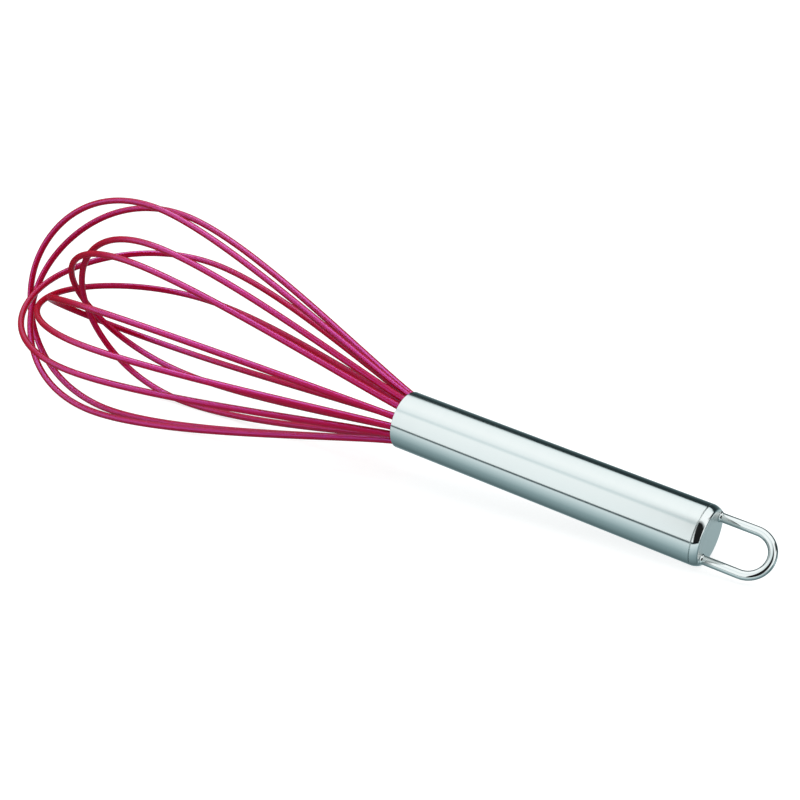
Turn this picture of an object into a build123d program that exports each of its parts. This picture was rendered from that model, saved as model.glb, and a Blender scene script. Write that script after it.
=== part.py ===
from build123d import *
import math
import os

# A balloon whisk lying at rest: seven silicone-sleeved wire loops in a steel tube handle.
#
# The whisk is built upright in its own frame and laid down at the end. Upright, Z is the
# whisk's axis with the handle's mouth at z = 0, the balloon above it and the handle below.
# X is the side that faces up once the whisk lies down, and a "turn" is an angle about the
# axis, in degrees, from X towards the front, -Y.
# Lengths are in millimetres.

# Handle: a plain drawn tube with a polished cap in its rear end. The cap's shoulder leans in
# more and more from the seam to the rim, by those angles in degrees.
HANDLE_DIAMETER = 20.0
TUBE_WALL = 0.4
TUBE_LENGTH = 109.0
TUBE_EDGE = 0.15
CAP_SEAM_ROUND = 0.15
CAP_SHOULDER = 2.0
CAP_LEAN_START = 6.0
CAP_LEAN_END = 30.0
CAP_RIM_ROUND = 0.8
CAP_CROWN = 0.3
CAP_SPIGOT = 8.0
CAP_SPIGOT_WALL = 0.6
CAP_FACE_THICKNESS = 2.9

# Hanging loop: a U of round wire whose two legs go straight into the cap.
LOOP_WIRE = 3.0
LOOP_HALF_WIDTH = 7.2
LOOP_REACH = 19.4
LOOP_TURN = -45.0
LOOP_LEG_INSIDE = 6.0
WELD_WIDTH = 0.4
WELD_HEIGHT = 0.9
WELD_HOLLOW = 0.3

# Wires: a sprung steel core in a silicone sleeve.
SLEEVE_DIAMETER = 2.4
CORE_DIAMETER = 1.5

# Inside the mouth: the holder that spaces the legs, the resin that grips them and its dam.
HOLE_CIRCLE_RADIUS = 6.5
BEND_START = -7.5
HOLDER_RECESS = 8.5
HOLDER_LENGTH = 10.0
RESIN_LENGTH = 13.0
DAM_LENGTH = 3.0
CORE_TAIL = 10.0

# Shape that all the loops share. The legs leave the holder parallel to the axis, flare
# out to the belly, and close in a rounded tip.
LEG_RUN = 12.0
BELLY_SHARE = 0.72
BELLY_RUN = 37.0
SHOULDER_SHARE = 0.69
TIP_SHARE = 0.44
BALLOON_LEAN = 1.7
LEAN_HEIGHT = 136.4
FIRST_HOLE_TURN = 164.5

# Each loop, in order round the holder and from the longest inwards: belly radius, tip height,
# twist of the belly from the holes, and how far the belly sits off its own plane.
LOOPS = [
    {"belly": 39.5, "tip": 178.5, "twist": -7.5, "sag": -0.5},
    {"belly": 41.5, "tip": 174.5, "twist": 0.0, "sag": 0.5},
    {"belly": 42.5, "tip": 168.0, "twist": -13.0, "sag": 0.0},
    {"belly": 38.5, "tip": 161.0, "twist": -4.5, "sag": 2.5},
    {"belly": 31.5, "tip": 157.5, "twist": -6.5, "sag": 7.5},
    {"belly": 30.0, "tip": 156.0, "twist": -10.0, "sag": 0.0},
    {"belly": 34.0, "tip": 150.5, "twist": 0.0, "sag": 1.5},
]

# Lying at rest the whisk touches the surface with two strands and the rear of its handle.
REST_TILT = 6.37

HANDLE_RADIUS = HANDLE_DIAMETER / 2
BORE_RADIUS = HANDLE_RADIUS - TUBE_WALL
LEG_COUNT = 2 * len(LOOPS)
HOLE_PITCH = 360.0 / LEG_COUNT
HOLDER_REAR = -(HOLDER_RECESS + HOLDER_LENGTH)
RESIN_REAR = HOLDER_REAR - RESIN_LENGTH
LEAN_START = math.radians(CAP_LEAN_START)
LEAN_END = math.radians(CAP_LEAN_END)
SHOULDER_RADIUS = CAP_SHOULDER / (math.sin(LEAN_END) - math.sin(LEAN_START))
SHOULDER_REAR = -(TUBE_LENGTH + CAP_SEAM_ROUND + CAP_SHOULDER)
RIM_RADIUS = HANDLE_RADIUS - SHOULDER_RADIUS * (math.cos(LEAN_START) - math.cos(LEAN_END))
CAP_REAR = SHOULDER_REAR - CAP_RIM_ROUND * (1 - math.sin(LEAN_END))
FACE_RADIUS = RIM_RADIUS - CAP_RIM_ROUND * math.cos(LEAN_END)

AXIS = Vector(0, 0, 1)


def outward(turn):
    """The unit vector square to the axis at that turn from the top towards the front."""
    angle = math.radians(turn)
    return Vector(math.cos(angle), -math.sin(angle), 0)


def rod(radius, low, high):
    """A solid cylinder on the axis between two heights."""
    return Pos(0, 0, low) * Cylinder(
        radius, high - low, align=(Align.CENTER, Align.CENTER, Align.MIN)
    )


def hole_turn(index):
    return FIRST_HOLE_TURN - HOLE_PITCH * index


def loop_half(index, side):
    """The points of one strand's two curves, from the holder to the loop's tip."""
    loop = LOOPS[index]
    tip = loop["tip"]
    belly = BELLY_SHARE * tip
    hole_way = side * outward(hole_turn(index))
    belly_turn = hole_turn(index) + loop["twist"]
    belly_way = side * outward(belly_turn)
    lean = BALLOON_LEAN * Vector(1, 0, 0) + loop["sag"] * outward(belly_turn + 90)

    def point(way, radius, height):
        return way * radius + AXIS * height + lean * (height / LEAN_HEIGHT)

    leg = hole_way * HOLE_CIRCLE_RADIUS
    return [
        leg + AXIS * BEND_START,
        leg + AXIS * (BEND_START + LEG_RUN),
        point(belly_way, loop["belly"], belly - BELLY_RUN),
        point(belly_way, loop["belly"], belly),
        point(belly_way, loop["belly"], belly + SHOULDER_SHARE * (tip - belly)),
        point(belly_way, TIP_SHARE * loop["belly"], tip),
        point(belly_way, 0, tip),
    ]


def loop_path(index, leg_end):
    """A loop's centre line, from one leg's end inside the handle round to the other's."""
    first = loop_half(index, 1)
    second = loop_half(index, -1)
    edges = [
        Line(Vector(first[0].X, first[0].Y, leg_end), first[0]),
        Bezier(*first[:4]),
        Bezier(*first[3:]),
        Bezier(*reversed(second[3:])),
        Bezier(*reversed(second[:4])),
        Line(second[0], Vector(second[0].X, second[0].Y, leg_end)),
    ]
    return Wire(edges)


def along(path, section):
    """The solid that a flat section sweeps along a path."""
    start = Plane(origin=path @ 0, z_dir=path % 0)
    return sweep(start * section, path=path)


def sleeve(index):
    ring = Circle(SLEEVE_DIAMETER / 2) - Circle(CORE_DIAMETER / 2)
    return along(loop_path(index, HOLDER_REAR), ring)


def core(index):
    return along(loop_path(index, HOLDER_REAR - CORE_TAIL), Circle(CORE_DIAMETER / 2))


def leg_holes(radius, low, high):
    """Pegs to cut the holes that the legs pass through."""
    peg = rod(radius, low, high)
    return [Pos(*(outward(hole_turn(n)) * HOLE_CIRCLE_RADIUS)) * peg for n in range(LEG_COUNT)]


def wire_holder():
    body = rod(BORE_RADIUS, HOLDER_REAR, -HOLDER_RECESS)
    return body - leg_holes(SLEEVE_DIAMETER / 2, HOLDER_REAR, -HOLDER_RECESS)


def resin_seal():
    body = rod(BORE_RADIUS, RESIN_REAR, HOLDER_REAR)
    return body - leg_holes(CORE_DIAMETER / 2, HOLDER_REAR - CORE_TAIL, HOLDER_REAR)


def resin_dam():
    return rod(BORE_RADIUS, RESIN_REAR - DAM_LENGTH, RESIN_REAR)


def handle_tube():
    tube = rod(HANDLE_RADIUS, -TUBE_LENGTH, 0) - rod(BORE_RADIUS, -TUBE_LENGTH, 0)
    mouth_edges = tube.edges().group_by(Axis.Z)[-1]
    rear_edge = tube.edges().group_by(Axis.Z)[0].sort_by(SortBy.RADIUS)[-1]
    return fillet([*mouth_edges, rear_edge], TUBE_EDGE)


def hanging_path():
    """The hanging loop's centre line, from one leg's end inside the cap to the other's."""
    way = outward(LOOP_TURN) * LOOP_HALF_WIDTH
    inner = AXIS * (LOOP_LEG_INSIDE - TUBE_LENGTH)
    bend = AXIS * (CAP_REAR - LOOP_REACH + LOOP_HALF_WIDTH)
    far = AXIS * (CAP_REAR - LOOP_REACH)
    return Wire([
        Line(way + inner, way + bend),
        ThreePointArc(way + bend, far, -way + bend),
        Line(-way + bend, -way + inner),
    ])


def hanging_loop():
    return along(hanging_path(), Circle(LOOP_WIRE / 2))


def leg_pegs(radius, low, high):
    """Pegs on the hanging loop's two legs."""
    way = outward(LOOP_TURN) * LOOP_HALF_WIDTH
    return [Pos(*(side * way)) * rod(radius, low, high) for side in (1, -1)]


def end_cap():
    """A shallow domed cap with a spigot that presses into the tube."""
    seam = -TUBE_LENGTH
    crown = CAP_REAR - CAP_CROWN
    with BuildSketch(Plane.XZ) as half:
        with BuildLine():
            Polyline((0, crown + CAP_FACE_THICKNESS), (0, crown))
            ThreePointArc(
                (0, crown), (FACE_RADIUS / 2, crown + CAP_CROWN / 4), (FACE_RADIUS, CAP_REAR)
            )
            RadiusArc((FACE_RADIUS, CAP_REAR), (RIM_RADIUS, SHOULDER_REAR), -CAP_RIM_ROUND)
            RadiusArc(
                (RIM_RADIUS, SHOULDER_REAR),
                (HANDLE_RADIUS, seam - CAP_SEAM_ROUND),
                -SHOULDER_RADIUS,
            )
            RadiusArc(
                (HANDLE_RADIUS, seam - CAP_SEAM_ROUND),
                (HANDLE_RADIUS - CAP_SEAM_ROUND, seam),
                -CAP_SEAM_ROUND,
            )
            Polyline(
                (HANDLE_RADIUS - CAP_SEAM_ROUND, seam),
                (BORE_RADIUS, seam),
                (BORE_RADIUS, seam + CAP_SPIGOT),
                (BORE_RADIUS - CAP_SPIGOT_WALL, seam + CAP_SPIGOT),
                (BORE_RADIUS - CAP_SPIGOT_WALL, crown + CAP_FACE_THICKNESS),
                (0, crown + CAP_FACE_THICKNESS),
            )
        make_face()
    body = revolve(half.sketch, Axis.Z)
    return body - leg_pegs(LOOP_WIRE / 2, crown - CAP_CROWN, -TUBE_LENGTH + CAP_SPIGOT)


def loop_welds(cap):
    """A small fillet of weld where each leg of the hanging loop leaves the cap."""
    wire = LOOP_WIRE / 2
    base = wire + WELD_WIDTH
    foot = CAP_REAR + CAP_RIM_ROUND / 2
    face = CAP_REAR - CAP_CROWN / 2
    top = face - WELD_HEIGHT
    with BuildSketch(Plane.XZ) as half:
        with BuildLine():
            Polyline((wire, top), (wire, foot), (base, foot), (base, face))
            ThreePointArc(
                (base, face),
                (wire + WELD_HOLLOW * WELD_WIDTH, face - WELD_HOLLOW * WELD_HEIGHT),
                (wire, top),
            )
        make_face()
    collar = revolve(half.sketch, Axis.Z)
    way = outward(LOOP_TURN) * LOOP_HALF_WIDTH
    inside = rod(HANDLE_RADIUS, top, foot)
    return [(Pos(*(side * way)) * collar & inside) - cap for side in (1, -1)]


def upright_parts():
    cap = end_cap()
    parts = {
        "handle_tube": handle_tube(),
        "end_cap": cap,
        "hanging_loop": hanging_loop(),
        "loop_welds": Compound(children=[w.solid() for w in loop_welds(cap)]),
        "wire_holder": wire_holder(),
        "resin_seal": resin_seal(),
        "resin_dam": resin_dam(),
    }
    for index in range(len(LOOPS)):
        parts[f"core_wire_{index + 1}"] = core(index)
        parts[f"silicone_sleeve_{index + 1}"] = sleeve(index)
    return parts


def laid_down(parts):
    """The parts lying on z = 0, balloon towards -X, with the base's centre at the origin."""
    tipped = {name: Rot(0, REST_TILT - 90, 0) * part for name, part in parts.items()}
    boxes = [part.bounding_box() for part in tipped.values()]
    low = Vector(*(min(getattr(box.min, axis) for box in boxes) for axis in "XYZ"))
    high = Vector(*(max(getattr(box.max, axis) for box in boxes) for axis in "XYZ"))
    home = Pos(-(low.X + high.X) / 2, -(low.Y + high.Y) / 2, -low.Z)
    return {name: home * part for name, part in tipped.items()}


os.makedirs("parts", exist_ok=True)
for name, part in laid_down(upright_parts()).items():
    export_step(part, f"parts/{name}.step")
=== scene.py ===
"""Looks of the balloon whisk: silicone loops, a brushed tube handle and a wire hanging loop.

The CAD frame gives every place. The sleeves, the tube and the hanging loop are rebuilt here
as fine meshes. They are made in the whisk's own upright frame, where Z runs along its axis
from the handle's mouth towards the balloon and X is the side that faces up, and then laid
down by one placement. A "turn" is an angle about the axis, in degrees, from X towards -Y.
"""

import math

import bpy
from mathutils import Euler, Matrix, Vector


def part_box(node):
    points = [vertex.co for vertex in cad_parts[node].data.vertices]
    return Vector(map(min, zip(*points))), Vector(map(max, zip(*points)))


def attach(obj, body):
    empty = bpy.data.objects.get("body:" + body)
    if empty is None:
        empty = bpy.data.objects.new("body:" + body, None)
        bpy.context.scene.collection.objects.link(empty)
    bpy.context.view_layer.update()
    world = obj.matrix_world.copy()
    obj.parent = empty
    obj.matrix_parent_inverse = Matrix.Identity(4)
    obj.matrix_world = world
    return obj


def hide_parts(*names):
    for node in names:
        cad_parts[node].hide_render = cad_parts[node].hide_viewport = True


MM = 0.001

# Sizes that the CAD model has too, in millimetres.
HANDLE_RADIUS = 10.0
TUBE_WALL = 0.4
TUBE_LENGTH = 109.0
TUBE_EDGE = 0.15
CAP_REAR = -111.55
CAP_FACE_RADIUS = 8.66
LOOP_WIRE = 3.0
LOOP_HALF_WIDTH = 7.2
LOOP_REACH = 19.4
LOOP_TURN = -45.0
LOOP_LEG_INSIDE = 6.0
SLEEVE_DIAMETER = 2.4
CORE_DIAMETER = 1.5
HOLE_CIRCLE_RADIUS = 6.5
BEND_START = -7.5
HOLDER_REAR = -18.5
LEG_RUN = 12.0
BELLY_SHARE = 0.72
BELLY_RUN = 37.0
SHOULDER_SHARE = 0.69
TIP_SHARE = 0.44
BALLOON_LEAN = 1.7
LEAN_HEIGHT = 136.4
FIRST_HOLE_TURN = 164.5
REST_TILT = 6.37

# Only in the looks: the open seam between the tube and the cap, which touch in the CAD, and half
# the width of the edge between the cap's satin face and its polished collar.
SEAM_GAP = 0.22
CAP_FACE_FADE = 0.1

# The loops, from the longest to the shortest: the greatest radius, how far the tip stands from
# the mouth, the turn from the loop's holes to its belly, and how far it leans to one side.
LOOPS = [
    {"belly": 39.5, "tip": 178.5, "twist": -7.5, "sag": -0.5},
    {"belly": 41.5, "tip": 174.5, "twist": 0.0, "sag": 0.5},
    {"belly": 42.5, "tip": 168.0, "twist": -13.0, "sag": 0.0},
    {"belly": 38.5, "tip": 161.0, "twist": -4.5, "sag": 2.5},
    {"belly": 31.5, "tip": 157.5, "twist": -6.5, "sag": 7.5},
    {"belly": 30.0, "tip": 156.0, "twist": -10.0, "sag": 0.0},
    {"belly": 34.0, "tip": 150.5, "twist": 0.0, "sag": 1.5},
]
HOLE_PITCH = 180.0 / len(LOOPS)

# How finely the meshes are cut.
SLEEVE_SIDES = 32
CURVE_STEPS = 110
TUBE_SIDES = 256
WIRE_SIDES = 64
BEND_STEPS = 96
EDGE_STEPS = 4

# The camera, in millimetres from the handle's mouth and in degrees, as fitted to the handle
# and the loops in the picture. How long the lens is was only loosely held by that fit.
CAMERA_FROM_MOUTH = Vector((252.4, -368.1, 207.2))
CAMERA_PITCH = 65.88
CAMERA_TURN = 34.706
CAMERA_ROLL = -1.256
CAMERA_LENS = 65.25
CAMERA_SENSOR = 36.0

AXIS = Vector((0, 0, 1))


def outward(turn):
    """The unit vector square to the axis at that turn from the top towards the front."""
    angle = math.radians(turn)
    return Vector((math.cos(angle), -math.sin(angle), 0))


# Mesh building


def bezier(points, steps):
    """Points along a cubic curve, from the first up to but not including the last."""
    a, b, c, d = points
    found = []
    for i in range(steps):
        t = i / steps
        s = 1 - t
        found.append(a * s**3 + b * (3 * s * s * t) + c * (3 * s * t * t) + d * t**3)
    return found


def ring_frames(path):
    """Two directions square to the path at each of its points, turning as little as it can."""
    count = len(path)
    ways = []
    for i in range(count):
        ways.append((path[min(i + 1, count - 1)] - path[max(i - 1, 0)]).normalized())
    side = ways[0].orthogonal().normalized()
    frames = []
    for i in range(count):
        side = (side - ways[i] * side.dot(ways[i])).normalized()
        frames.append((side, ways[i].cross(side)))
    return frames


def rings_along(path, radius, sides):
    """Rings of vertices of that radius round each point of a path."""
    rings = []
    for centre, (across, over) in zip(path, ring_frames(path)):
        ring = []
        for k in range(sides):
            angle = 2 * math.pi * k / sides
            ring.append(centre + across * (radius * math.cos(angle)) + over * (radius * math.sin(angle)))
        rings.append(ring)
    return rings


def skin(rings, closed, outward_faces=True):
    """Quads between neighbouring rings of equal count, as vertex numbers."""
    sides = len(rings[0])
    faces = []
    last = len(rings) if closed else len(rings) - 1
    for i in range(last):
        j = (i + 1) % len(rings)
        for k in range(sides):
            n = (k + 1) % sides
            quad = (i * sides + k, i * sides + n, j * sides + n, j * sides + k)
            faces.append(quad if outward_faces else quad[::-1])
    return faces


def add_piece(name, points, faces):
    """A smooth mesh object from points in millimetres."""
    mesh = bpy.data.meshes.new(name)
    mesh.from_pydata([p * MM for p in points], [], faces)
    mesh.update()
    for face in mesh.polygons:
        face.use_smooth = True
    piece = bpy.data.objects.new(name, mesh)
    bpy.context.scene.collection.objects.link(piece)
    return piece


def hollow_tube(name, path, outer, inner, sides):
    """A sleeve along an open path: an outside, a bore and a flat ring at each end."""
    outside = rings_along(path, outer, sides)
    inside = rings_along(path, inner, sides)
    points = [p for ring in outside + inside for p in ring]
    bore_start = len(outside) * sides
    faces = skin(outside, closed=False)
    faces += [tuple(bore_start + v for v in quad) for quad in skin(inside, False, False)]
    end = (len(path) - 1) * sides
    for k in range(sides):
        n = (k + 1) % sides
        faces.append((k, bore_start + k, bore_start + n, n))
        faces.append((end + k, end + n, bore_start + end + n, bore_start + end + k))
    return add_piece(name, points, faces)


def solid_rod(name, path, radius, sides):
    """A round wire along an open path, with flat ends."""
    rings = rings_along(path, radius, sides)
    points = [p for ring in rings for p in ring]
    faces = skin(rings, closed=False)
    faces.append(tuple(reversed(range(sides))))
    faces.append(tuple(range(len(points) - sides, len(points))))
    return add_piece(name, points, faces)


def lathe(name, profile, sides):
    """A ring-shaped solid: a closed profile of (radius, height) points turned round the axis."""
    rings = []
    for k in range(sides):
        angle = 2 * math.pi * k / sides
        rings.append([Vector((r * math.cos(angle), r * math.sin(angle), z)) for r, z in profile])
    points = [p for ring in rings for p in ring]
    return add_piece(name, points, skin(rings, closed=True))


def corner_arc(centre, radius, start, end, steps):
    """Profile points round a quarter turn, between two angles in degrees."""
    found = []
    for i in range(steps + 1):
        angle = math.radians(start + (end - start) * i / steps)
        found.append((centre[0] + radius * math.cos(angle), centre[1] + radius * math.sin(angle)))
    return found


# The whisk's pieces


def hole_turn(index):
    """The turn of the first of a loop's two opposite holes in the holder."""
    return FIRST_HOLE_TURN - HOLE_PITCH * index


def loop_half(index, side):
    """The points of one strand's two curves, from the holder to the loop's tip."""
    loop = LOOPS[index]
    tip = loop["tip"]
    belly = BELLY_SHARE * tip
    hole_way = side * outward(hole_turn(index))
    belly_turn = hole_turn(index) + loop["twist"]
    belly_way = side * outward(belly_turn)
    lean = BALLOON_LEAN * Vector((1, 0, 0)) + loop["sag"] * outward(belly_turn + 90)

    def point(way, radius, height):
        return way * radius + AXIS * height + lean * (height / LEAN_HEIGHT)

    leg = hole_way * HOLE_CIRCLE_RADIUS
    return [
        leg + AXIS * BEND_START,
        leg + AXIS * (BEND_START + LEG_RUN),
        point(belly_way, loop["belly"], belly - BELLY_RUN),
        point(belly_way, loop["belly"], belly),
        point(belly_way, loop["belly"], belly + SHOULDER_SHARE * (tip - belly)),
        point(belly_way, TIP_SHARE * loop["belly"], tip),
        point(belly_way, 0, tip),
    ]


def loop_path(index):
    """A loop's centre line from the holder's rear, out round the balloon and back."""
    first = loop_half(index, 1)
    second = loop_half(index, -1)
    path = [Vector((first[0].x, first[0].y, HOLDER_REAR))]
    path += bezier(first[:4], CURVE_STEPS)
    path += bezier(first[3:], CURVE_STEPS)
    path += bezier(second[:2:-1], CURVE_STEPS)
    path += bezier(second[3::-1], CURVE_STEPS)
    path.append(second[0])
    path.append(Vector((second[0].x, second[0].y, HOLDER_REAR)))
    return path


def make_sleeves(placement, material):
    """The silicone sleeve of each loop, open at both ends and bored for its core."""
    sleeves = []
    for index in range(len(LOOPS)):
        number = index + 1
        sleeve = hollow_tube(
            f"sleeve_{number}", loop_path(index), SLEEVE_DIAMETER / 2, CORE_DIAMETER / 2,
            SLEEVE_SIDES,
        )
        sleeve.data.transform(placement)
        sleeve.data.materials.append(material)
        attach(sleeve, "root")
        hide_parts(f"silicone_sleeve_{number}")
        sleeves.append(sleeve)
    return sleeves


def make_tube(placement, material):
    """The handle's tube, with its outer edges eased and a fine open seam before the cap."""
    bore = HANDLE_RADIUS - TUBE_WALL
    edge_radius = HANDLE_RADIUS - TUBE_EDGE
    rear = SEAM_GAP - TUBE_LENGTH
    profile = [(bore, 0.0), (bore, rear)]
    profile += corner_arc((edge_radius, rear + TUBE_EDGE), TUBE_EDGE, -90, 0, EDGE_STEPS)
    profile += corner_arc((edge_radius, -TUBE_EDGE), TUBE_EDGE, 0, 90, EDGE_STEPS)
    tube = lathe("tube", profile, TUBE_SIDES)
    tube.matrix_world = placement
    tube.data.materials.append(material)
    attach(tube, "root")
    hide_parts("handle_tube")


def hanging_path():
    """The hanging loop's centre line, from one leg's end inside the cap to the other's."""
    way = outward(LOOP_TURN) * LOOP_HALF_WIDTH
    inner = AXIS * (LOOP_LEG_INSIDE - TUBE_LENGTH)
    bend = AXIS * (CAP_REAR - LOOP_REACH + LOOP_HALF_WIDTH)
    path = [way + inner]
    for i in range(BEND_STEPS + 1):
        angle = math.pi * i / BEND_STEPS
        path.append(bend + way * math.cos(angle) - AXIS * (LOOP_HALF_WIDTH * math.sin(angle)))
    path.append(-way + inner)
    return path


def make_hanging_loop(placement, material):
    """The wire loop on the cap, with both legs' ends hidden inside it."""
    loop = solid_rod("hanging_eye", hanging_path(), LOOP_WIRE / 2, WIRE_SIDES)
    loop.data.transform(placement)
    loop.data.materials.append(material)
    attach(loop, "root")
    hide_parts("hanging_loop")


# Materials


def new_material(name, color, metallic, roughness):
    material = bpy.data.materials.new(name)
    material.use_nodes = True
    shader = material.node_tree.nodes["Principled BSDF"]
    shader.inputs["Base Color"].default_value = (*color, 1)
    shader.inputs["Metallic"].default_value = metallic
    shader.inputs["Roughness"].default_value = roughness
    return material, material.node_tree, shader


def stretched(tree, scale, placement=None):
    """The surface's own coordinates in metres, times a scale for each axis.

    With a placement, they are first brought back into that placement's upright frame.
    """
    coordinates = tree.nodes.new("ShaderNodeTexCoord").outputs["Object"]
    if placement:
        home = tree.nodes.new("ShaderNodeMapping")
        home.vector_type = "TEXTURE"
        home.inputs["Location"].default_value = placement.to_translation()
        home.inputs["Rotation"].default_value = placement.to_euler()
        tree.links.new(coordinates, home.inputs["Vector"])
        coordinates = home.outputs["Vector"]
    mapping = tree.nodes.new("ShaderNodeMapping")
    mapping.inputs["Scale"].default_value = scale
    tree.links.new(coordinates, mapping.inputs["Vector"])
    return mapping.outputs["Vector"]


def grain(tree, vector, detail=2.0):
    """Noise from 0 to 1, with features about one unit of the vector across."""
    noise = tree.nodes.new("ShaderNodeTexNoise")
    noise.inputs["Scale"].default_value = 1.0
    noise.inputs["Detail"].default_value = detail
    tree.links.new(vector, noise.inputs["Vector"])
    return noise.outputs["Fac"]


def spread(tree, value, ends, limits=(0.0, 1.0)):
    """A value brought from between two limits to between two ends."""
    node = tree.nodes.new("ShaderNodeMapRange")
    node.inputs["From Min"].default_value = limits[0]
    node.inputs["From Max"].default_value = limits[1]
    node.inputs["To Min"].default_value = ends[0]
    node.inputs["To Max"].default_value = ends[1]
    tree.links.new(value, node.inputs["Value"])
    return node.outputs["Result"]


def blended(tree, value, low_color, high_color):
    """A colour between two, by a value from 0 to 1."""
    mix = tree.nodes.new("ShaderNodeMix")
    mix.data_type = "RGBA"
    mix.inputs["A"].default_value = (*low_color, 1)
    mix.inputs["B"].default_value = (*high_color, 1)
    tree.links.new(value, mix.inputs["Factor"])
    return mix.outputs["Result"]


def calculated(tree, operation, first, second):
    """A Math node on one linked value and one linked value or number."""
    node = tree.nodes.new("ShaderNodeMath")
    node.operation = operation
    tree.links.new(first, node.inputs[0])
    if isinstance(second, (int, float)):
        node.inputs[1].default_value = second
    else:
        tree.links.new(second, node.inputs[1])
    return node.outputs[0]


def roughen(tree, shader, height, depth):
    """Relief on the surface, from a height between 0 and 1 times a depth in millimetres."""
    bump = tree.nodes.new("ShaderNodeBump")
    bump.inputs["Distance"].default_value = depth * MM
    tree.links.new(height, bump.inputs["Height"])
    tree.links.new(bump.outputs["Normal"], shader.inputs["Normal"])


def silicone():
    """Satin silicone, with a faint moulded unevenness in colour, gloss and surface.

    Its gloss is tinted violet, to match the pinkish highlights that the real one shows.
    """
    material, tree, shader = new_material("silicone_red", (0.58, 0.0, 0.008), 0.0, 0.25)
    shader.inputs["IOR"].default_value = 1.6
    shader.inputs["Specular Tint"].default_value = (0.35, 0.2, 1.0, 1)
    clouds = grain(tree, stretched(tree, (220, 220, 220)))
    color = blended(tree, clouds, (0.47, 0.0002, 0.010), (0.57, 0.0004, 0.019))
    tree.links.new(color, shader.inputs["Base Color"])
    tree.links.new(spread(tree, clouds, (0.2, 0.3)), shader.inputs["Roughness"])
    roughen(tree, shader, grain(tree, stretched(tree, (2600, 2600, 2600))), 0.012)
    return material


def brushed_steel():
    """Satin steel, brushed round the tube: the scratches follow each turn round its axis."""
    material, tree, shader = new_material("brushed_steel", (0.76, 0.80, 0.79), 1.0, 0.2)
    shader.inputs["Anisotropic"].default_value = 0.9
    shader.inputs["Anisotropic Rotation"].default_value = 0.25
    tangent = tree.nodes.new("ShaderNodeTangent")
    tangent.direction_type = "RADIAL"
    tangent.axis = "Z"
    tree.links.new(tangent.outputs["Tangent"], shader.inputs["Tangent"])
    bands = grain(tree, stretched(tree, (60, 60, 1400)), detail=4.0)
    color = blended(tree, bands, (0.735, 0.775, 0.765), (0.785, 0.825, 0.815))
    tree.links.new(color, shader.inputs["Base Color"])
    tree.links.new(spread(tree, bands, (0.13, 0.19)), shader.inputs["Roughness"])
    scratches = grain(tree, stretched(tree, (150, 150, 9000)), detail=3.0)
    roughen(tree, shader, scratches, 0.0015)
    return material


def polished_steel(name, placement):
    """Mirror steel with the faintest trace of the polishing."""
    material, tree, shader = new_material(name, (0.80, 0.83, 0.82), 1.0, 0.06)
    smears = grain(tree, stretched(tree, (500, 500, 160), placement))
    color = blended(tree, smears, (0.78, 0.81, 0.80), (0.82, 0.85, 0.84))
    tree.links.new(color, shader.inputs["Base Color"])
    tree.links.new(spread(tree, smears, (0.03, 0.09)), shader.inputs["Roughness"])
    return material, tree, shader, smears


def cap_steel(placement):
    """The cap: a polished collar and edge round a satin end face."""
    material, tree, shader, smears = polished_steel("cap_steel", placement)
    place = tree.nodes.new("ShaderNodeSeparateXYZ")
    tree.links.new(stretched(tree, (1000, 1000, 1000), placement), place.inputs[0])
    square = calculated(tree, "MULTIPLY", place.outputs["X"], place.outputs["X"])
    other = calculated(tree, "MULTIPLY", place.outputs["Y"], place.outputs["Y"])
    reach = calculated(tree, "POWER", calculated(tree, "ADD", square, other), 0.5)
    edge = (CAP_FACE_RADIUS - CAP_FACE_FADE, CAP_FACE_RADIUS + CAP_FACE_FADE)
    satin = spread(tree, reach, (1.0, 0.0), edge)
    grains = grain(tree, stretched(tree, (4000, 4000, 4000), placement))
    rough = calculated(tree, "MULTIPLY", satin, spread(tree, grains, (0.3, 0.4)))
    total = calculated(tree, "ADD", rough, spread(tree, smears, (0.03, 0.09)))
    tree.links.new(total, shader.inputs["Roughness"])
    roughen(tree, shader, calculated(tree, "MULTIPLY", satin, grains), 0.002)
    return material


def nylon():
    """Black moulded nylon with a fine matt grain."""
    material, tree, shader = new_material("nylon", (0.02, 0.02, 0.022), 0.0, 0.5)
    pores = grain(tree, stretched(tree, (1500, 1500, 1500)))
    color = blended(tree, pores, (0.016, 0.016, 0.018), (0.026, 0.026, 0.028))
    tree.links.new(color, shader.inputs["Base Color"])
    tree.links.new(spread(tree, pores, (0.42, 0.6)), shader.inputs["Roughness"])
    roughen(tree, shader, pores, 0.02)
    return material


def resin():
    """Cast epoxy, amber and slightly cloudy."""
    material, tree, shader = new_material("resin", (0.5, 0.4, 0.2), 0.0, 0.2)
    clouds = grain(tree, stretched(tree, (300, 300, 300)), detail=3.0)
    color = blended(tree, clouds, (0.44, 0.33, 0.15), (0.56, 0.46, 0.26))
    tree.links.new(color, shader.inputs["Base Color"])
    tree.links.new(spread(tree, clouds, (0.12, 0.3)), shader.inputs["Roughness"])
    return material


def spring_steel():
    """Drawn wire with fine streaks."""
    material, tree, shader = new_material("spring_steel", (0.55, 0.56, 0.57), 1.0, 0.3)
    streaks = grain(tree, stretched(tree, (200, 3000, 3000)))
    color = blended(tree, streaks, (0.48, 0.49, 0.50), (0.60, 0.61, 0.62))
    tree.links.new(color, shader.inputs["Base Color"])
    tree.links.new(spread(tree, streaks, (0.22, 0.4)), shader.inputs["Roughness"])
    return material


def paint_cad(nodes, names, material):
    """Give CAD nodes that are shown as they are a material of this script."""
    for name in names:
        slots = nodes[name].data.materials
        slots.clear()
        slots.append(material)


# Studio


# The floor's half width in metres. To the camera it is a grey that glows, for a white that
# still shows shadows. To every other ray it is a plain grey, so that the glow doesn't light the
# whisk from below.
FLOOR_REACH = 8.0
FLOOR_GREY = 0.45
FLOOR_GLOW = 0.8
FLOOR_BOUNCE = 0.6


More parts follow.
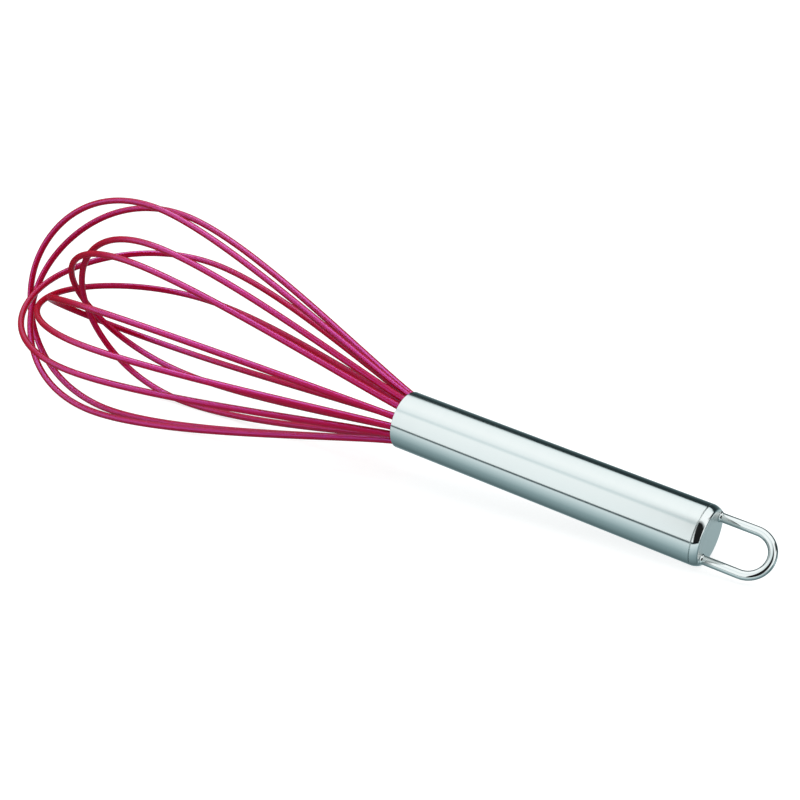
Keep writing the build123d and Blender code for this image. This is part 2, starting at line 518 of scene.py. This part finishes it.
def make_floor():
    mesh = bpy.data.meshes.new("floor")
    low, high = -FLOOR_REACH, FLOOR_REACH
    corners = [(low, low, 0), (high, low, 0), (high, high, 0), (low, high, 0)]
    mesh.from_pydata(corners, [], [(0, 1, 2, 3)])
    floor = bpy.data.objects.new("floor", mesh)
    bpy.context.scene.collection.objects.link(floor)
    floor.visible_glossy = False
    material, tree, shader = new_material("floor_white", (FLOOR_GREY,) * 3, 0.0, 1.0)
    shader.inputs["Specular IOR Level"].default_value = 0.0
    shader.inputs["Emission Color"].default_value = (1, 1, 1, 1)
    shader.inputs["Emission Strength"].default_value = FLOOR_GLOW
    dim = tree.nodes.new("ShaderNodeBsdfDiffuse")
    dim.inputs["Color"].default_value = (*(FLOOR_BOUNCE,) * 3, 1)
    seen = tree.nodes.new("ShaderNodeLightPath")
    mix = tree.nodes.new("ShaderNodeMixShader")
    tree.links.new(seen.outputs["Is Camera Ray"], mix.inputs["Fac"])
    tree.links.new(dim.outputs[0], mix.inputs[1])
    tree.links.new(shader.outputs[0], mix.inputs[2])
    tree.links.new(mix.outputs[0], tree.nodes["Material Output"].inputs["Surface"])
    mesh.materials.append(material)


# Studio light round the whisk's length, as (angle, brightness), set for the light and
# dark streaks along the handle. The angle is in degrees about the X axis: 0 at the front, 90
# overhead, 180 behind and -90 below.
LIGHT_BANDS = [
    (-180, 0.12),
    (-150, 0.60),
    (-128, 0.27),
    (-110, 0.15),
    (-85, 0.26),
    (-60, 0.40),
    (-35, 0.67),
    (-14, 0.90),
    (-12, 0.08),
    (-7, 0.08),
    (-5, 1.08),
    (50, 1.14),
    (59, 0.90),
    (68, 1.10),
    (90, 1.18),
    (130, 1.12),
    (141, 0.90),
    (144, 0.04),
    (160, 0.035),
    (180, 0.12),
]

# The dark room in front, seen past the handle's end: it starts this far towards +X and up from
# this angle, and ends this many degrees from its middle.
ROOM_START = (0.06, 0.12)
ROOM_BOTTOM = (-12.0, -10.0)
ROOM_MIDDLE = Vector((0.2, -0.87, 0.45)).normalized()
ROOM_END = (50.0, 37.0)
ROOM_LIGHT = 0.015

# A dark strip behind: between these places towards +X, and up from this angle.
STRIP_START = (0.54, 0.62)
STRIP_END = (0.84, 0.78)
STRIP_BOTTOM = (96.0, 110.0)
STRIP_LIGHT = 0.12

# The studio's far end, past the balloon, is dim from between these places towards -X.
END_START = (-0.70, -0.86)
END_LIGHT = 0.2

# What the camera sees behind the floor.
BACKDROP_LIGHT = 1.1


def tinted(brightness):
    """Grey that turns towards teal as it darkens, as the studio's shaded walls do."""
    return (
        brightness * (0.61 + 0.31 * brightness),
        brightness,
        brightness * (1.08 - 0.06 * brightness),
        1,
    )


def region(tree, edges, inside):
    """1 outside a region, falling inside it to that share of the light.

    Each edge is a value and the two limits between which it fades into the region.
    """
    share = None
    for value, limits in edges:
        step = spread(tree, value, (0.0, 1.0), limits)
        share = step if share is None else calculated(tree, "MULTIPLY", share, step)
    return spread(tree, share, (1.0, inside))


def make_world():
    """The studio round the whisk: bands of light, a dark room, a dark strip and a dim far end."""
    world = bpy.data.worlds.new("studio")
    bpy.context.scene.world = world
    world.use_nodes = True
    tree = world.node_tree
    nodes = tree.nodes
    background = nodes["Background"]
    way = nodes.new("ShaderNodeTexCoord").outputs["Generated"]
    split = nodes.new("ShaderNodeSeparateXYZ")
    tree.links.new(way, split.inputs[0])
    front = calculated(tree, "MULTIPLY", split.outputs["Y"], -1)
    angle = calculated(tree, "ARCTAN2", split.outputs["Z"], front)
    ramp = nodes.new("ShaderNodeValToRGB")
    stops = ramp.color_ramp.elements
    while len(stops) < len(LIGHT_BANDS):
        stops.new(0.5)
    for stop, (at, brightness) in zip(stops, LIGHT_BANDS):
        stop.position = (at + 180) / 360
        stop.color = tinted(brightness)
    tree.links.new(spread(tree, angle, (0.0, 1.0), (-math.pi, math.pi)), ramp.inputs["Fac"])
    tree.links.new(ramp.outputs["Color"], background.inputs["Color"])
    nearness = nodes.new("ShaderNodeVectorMath")
    nearness.operation = "DOT_PRODUCT"
    nearness.inputs[1].default_value = ROOM_MIDDLE
    tree.links.new(way, nearness.inputs[0])
    ends = [math.cos(math.radians(reach)) for reach in ROOM_END]
    room = region(tree, (
        (split.outputs["X"], ROOM_START),
        (angle, [math.radians(turn) for turn in ROOM_BOTTOM]),
        (nearness.outputs["Value"], ends),
    ), ROOM_LIGHT)
    strip = region(tree, (
        (split.outputs["X"], STRIP_START),
        (split.outputs["X"], STRIP_END),
        (angle, [math.radians(turn) for turn in STRIP_BOTTOM]),
    ), STRIP_LIGHT)
    far_end = region(tree, ((split.outputs["X"], END_START),), END_LIGHT)
    strength = calculated(tree, "MULTIPLY", calculated(tree, "MULTIPLY", room, strip), far_end)
    tree.links.new(strength, background.inputs["Strength"])
    plain = nodes.new("ShaderNodeBackground")
    plain.inputs["Color"].default_value = (1, 1, 1, 1)
    plain.inputs["Strength"].default_value = BACKDROP_LIGHT
    seen = nodes.new("ShaderNodeLightPath")
    mix = nodes.new("ShaderNodeMixShader")
    tree.links.new(seen.outputs["Is Camera Ray"], mix.inputs["Fac"])
    tree.links.new(background.outputs[0], mix.inputs[1])
    tree.links.new(plain.outputs[0], mix.inputs[2])
    tree.links.new(mix.outputs[0], nodes["World Output"].inputs["Surface"])


# The lamp overhead: its size along X and Y and its place in metres, and its power.
LAMP_SIZE = (1.6, 1.2)
LAMP_PLACE = (0.0, -0.15, 1.3)
LAMP_POWER = 3.5


def make_lamp():
    """A wide soft light overhead, for the floor and the silicone."""
    lamp = bpy.data.lights.new("overhead", "AREA")
    lamp.shape = "RECTANGLE"
    lamp.size, lamp.size_y = LAMP_SIZE
    lamp.energy = LAMP_POWER
    holder = bpy.data.objects.new("overhead", lamp)
    holder.location = LAMP_PLACE
    holder.visible_glossy = False
    bpy.context.scene.collection.objects.link(holder)


# Soft boxes that only the silicone's gloss shows, so that the steel keeps its own reflections:
# the way to each from the balloon, its width along X and its depth in metres, and its power.
BALLOON_MIDDLE = Vector((-0.08, 0.0, 0.03))
BOX_DISTANCE = 1.0
SILICONE_BOXES = {
    "front_box": {"way": (-0.40, -0.79, 0.46), "width": 0.95, "depth": 1.10, "power": 9.0},
    "top_box": {"way": (-0.22, 0.0, 0.98), "width": 0.65, "depth": 0.85, "power": 13.0},
}


def make_silicone_boxes(sleeves):
    """The soft boxes, each facing the balloon and linked to the sleeves alone."""
    lit = bpy.data.collections.new("silicone")
    for sleeve in sleeves:
        lit.objects.link(sleeve)
    for name, box in SILICONE_BOXES.items():
        lamp = bpy.data.lights.new(name, "AREA")
        lamp.shape = "RECTANGLE"
        lamp.size = box["width"]
        lamp.size_y = box["depth"]
        lamp.energy = box["power"]
        holder = bpy.data.objects.new(name, lamp)
        way = Vector(box["way"]).normalized()
        across = (Vector((1, 0, 0)) - way * way.x).normalized()
        turned = Matrix((across, way.cross(across), way)).transposed()
        holder.matrix_world = (
            Matrix.Translation(BALLOON_MIDDLE + way * BOX_DISTANCE) @ turned.to_4x4()
        )
        holder.visible_camera = False
        holder.visible_diffuse = False
        holder.light_linking.receiver_collection = lit
        bpy.context.scene.collection.objects.link(holder)


def make_camera(mouth):
    camera = bpy.data.cameras.new("camera")
    camera.lens = CAMERA_LENS
    camera.sensor_width = CAMERA_SENSOR
    camera.clip_start = 0.01
    holder = bpy.data.objects.new("camera", camera)
    turned = Euler((0, 0, math.radians(CAMERA_TURN))).to_matrix()
    turned = turned @ Euler((math.radians(CAMERA_PITCH), 0, 0)).to_matrix()
    turned = turned @ Euler((0, 0, math.radians(CAMERA_ROLL))).to_matrix()
    holder.matrix_world = Matrix.Translation(mouth + CAMERA_FROM_MOUTH * MM) @ turned.to_4x4()
    bpy.context.scene.collection.objects.link(holder)
    bpy.context.scene.camera = holder


def lay_down():
    """The placement of the upright frame in the row frame, from where the CAD tube lies."""
    low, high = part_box("handle_tube")
    tilt = math.radians(REST_TILT)
    radius = HANDLE_RADIUS * MM
    mouth = Vector((
        low.x + radius * math.sin(tilt),
        (low.y + high.y) / 2,
        high.z - radius * math.cos(tilt),
    ))
    return mouth, Matrix.Translation(mouth) @ Matrix.Rotation(tilt - math.pi / 2, 4, "Y")


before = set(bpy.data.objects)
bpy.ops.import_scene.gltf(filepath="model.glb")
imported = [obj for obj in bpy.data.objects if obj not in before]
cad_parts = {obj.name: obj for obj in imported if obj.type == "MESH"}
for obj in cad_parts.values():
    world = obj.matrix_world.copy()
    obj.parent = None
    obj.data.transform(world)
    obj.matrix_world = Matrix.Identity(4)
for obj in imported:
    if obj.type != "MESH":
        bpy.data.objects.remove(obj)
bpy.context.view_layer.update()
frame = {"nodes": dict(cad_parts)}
mouth, placement = lay_down()
make_camera(mouth)
make_world()
make_lamp()
make_floor()
bpy.context.scene.view_settings.view_transform = "Standard"

polished = polished_steel("polished_steel", placement)[0]
make_silicone_boxes(make_sleeves(placement, silicone()))
make_tube(placement, brushed_steel())
make_hanging_loop(placement, polished)
nodes = frame["nodes"]
paint_cad(nodes, ["end_cap"], cap_steel(placement))
paint_cad(nodes, ["loop_welds"], polished)
paint_cad(nodes, ["wire_holder", "resin_dam"], nylon())
paint_cad(nodes, ["resin_seal"], resin())
paint_cad(nodes, [f"core_wire_{n}" for n in range(1, len(LOOPS) + 1)], spring_steel())
